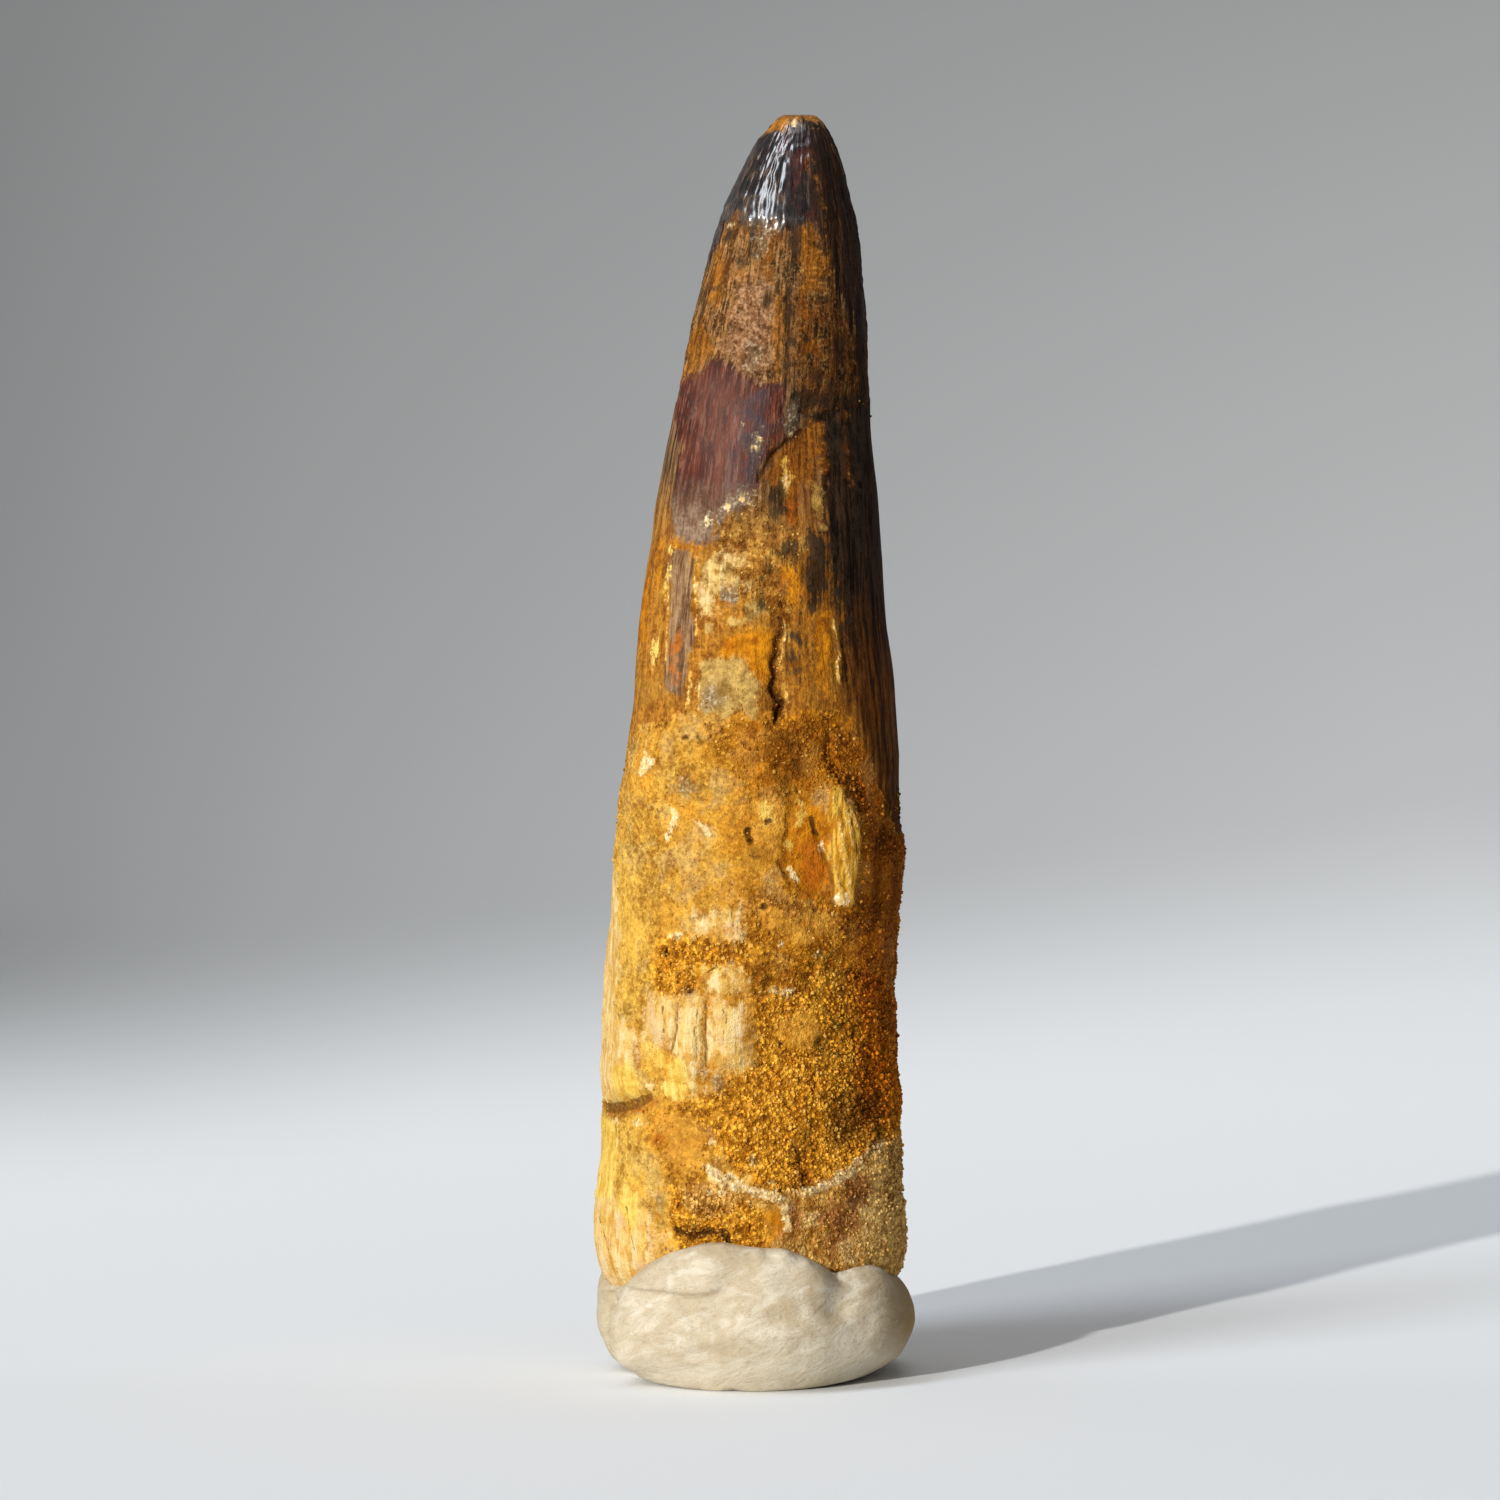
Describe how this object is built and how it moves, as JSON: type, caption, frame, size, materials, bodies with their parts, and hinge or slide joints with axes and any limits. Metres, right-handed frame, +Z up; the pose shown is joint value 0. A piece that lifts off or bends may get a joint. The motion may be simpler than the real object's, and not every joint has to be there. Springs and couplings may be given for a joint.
{
  "type": "fossil mosasaur tooth",
  "caption": "Long conical fossil tooth with a dark enamel tip and a sand-crusted root, stood upright in a squashed lump of pale mounting putty.",
  "frame": {"origin": "centre of the object's box, on the putty's flat underside", "axes": "+Z up along the tooth towards its tip, -Y the front that the picture shows, +X to the right of that view"},
  "size_m": [0.0248, 0.0278, 0.0977],
  "materials": {
    "fossil": "mineralised enamel and bone, dark and glossy at the tip, ochre and sandy down the root",
    "putty": "matt off-white mounting putty, kneaded and marbled"
  },
  "bodies": {
    "root": {"tooth": "fossil", "putty_base": "putty"}
  },
  "joints": []
}
